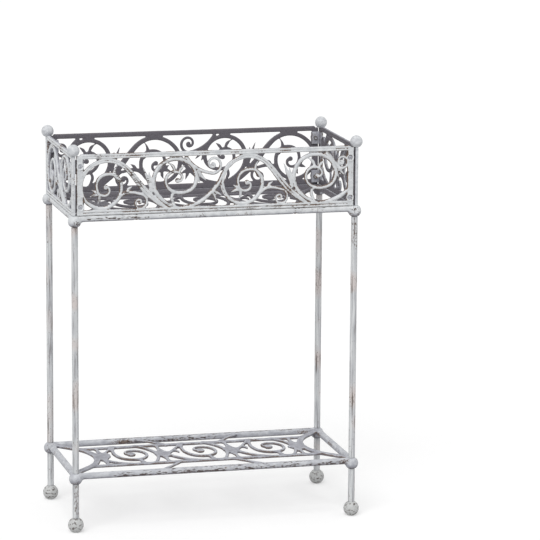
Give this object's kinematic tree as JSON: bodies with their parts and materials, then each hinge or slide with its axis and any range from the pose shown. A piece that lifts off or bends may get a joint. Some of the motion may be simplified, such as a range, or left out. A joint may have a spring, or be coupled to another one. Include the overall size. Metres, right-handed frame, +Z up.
{
  "type": "two-tier plant stand",
  "caption": "Rectangular two-tier plant stand of painted cast iron: ball-footed round legs, a low scrollwork shelf and a high tray walled by scroll panels.",
  "frame": {"origin": "on the floor below the middle of the stand", "axes": "+Z up, +X to the right seen from the front, the front faces -Y"},
  "size_m": [0.559, 0.275, 0.7258],
  "materials": {
    "painted_casting": "worn off-white paint over a dark brown base coat, matt",
    "painted_rod": "worn off-white paint over a dark brown base coat, streaked, matt",
    "painted_screw": "painted over with the panels, matt",
    "fastener_steel": "plain steel, mostly hidden"
  },
  "bodies": {
    "root": {"shelf_deck": "painted_casting", "tray_deck": "painted_casting", "front_panel": "painted_casting", "back_panel": "painted_casting", "left_panel": "painted_casting", "right_panel": "painted_casting", "foot_front_left": "painted_casting", "lower_leg_front_left": "painted_rod", "upper_leg_front_left": "painted_rod", "finial_front_left": "painted_casting", "foot_front_right": "painted_casting", "lower_leg_front_right": "painted_rod", "upper_leg_front_right": "painted_rod", "finial_front_right": "painted_casting", "foot_back_left": "painted_casting", "lower_leg_back_left": "painted_rod", "upper_leg_back_left": "painted_rod", "finial_back_left": "painted_casting", "foot_back_right": "painted_casting", "lower_leg_back_right": "painted_rod", "upper_leg_back_right": "painted_rod", "finial_back_right": "painted_casting", "foot_studs": "fastener_steel", "shelf_studs": "fastener_steel", "tray_studs": "fastener_steel", "finial_studs": "fastener_steel", "panel_nuts": "fastener_steel", "deck_screws": "fastener_steel", "panel_screws": "painted_screw"}
  },
  "joints": []
}
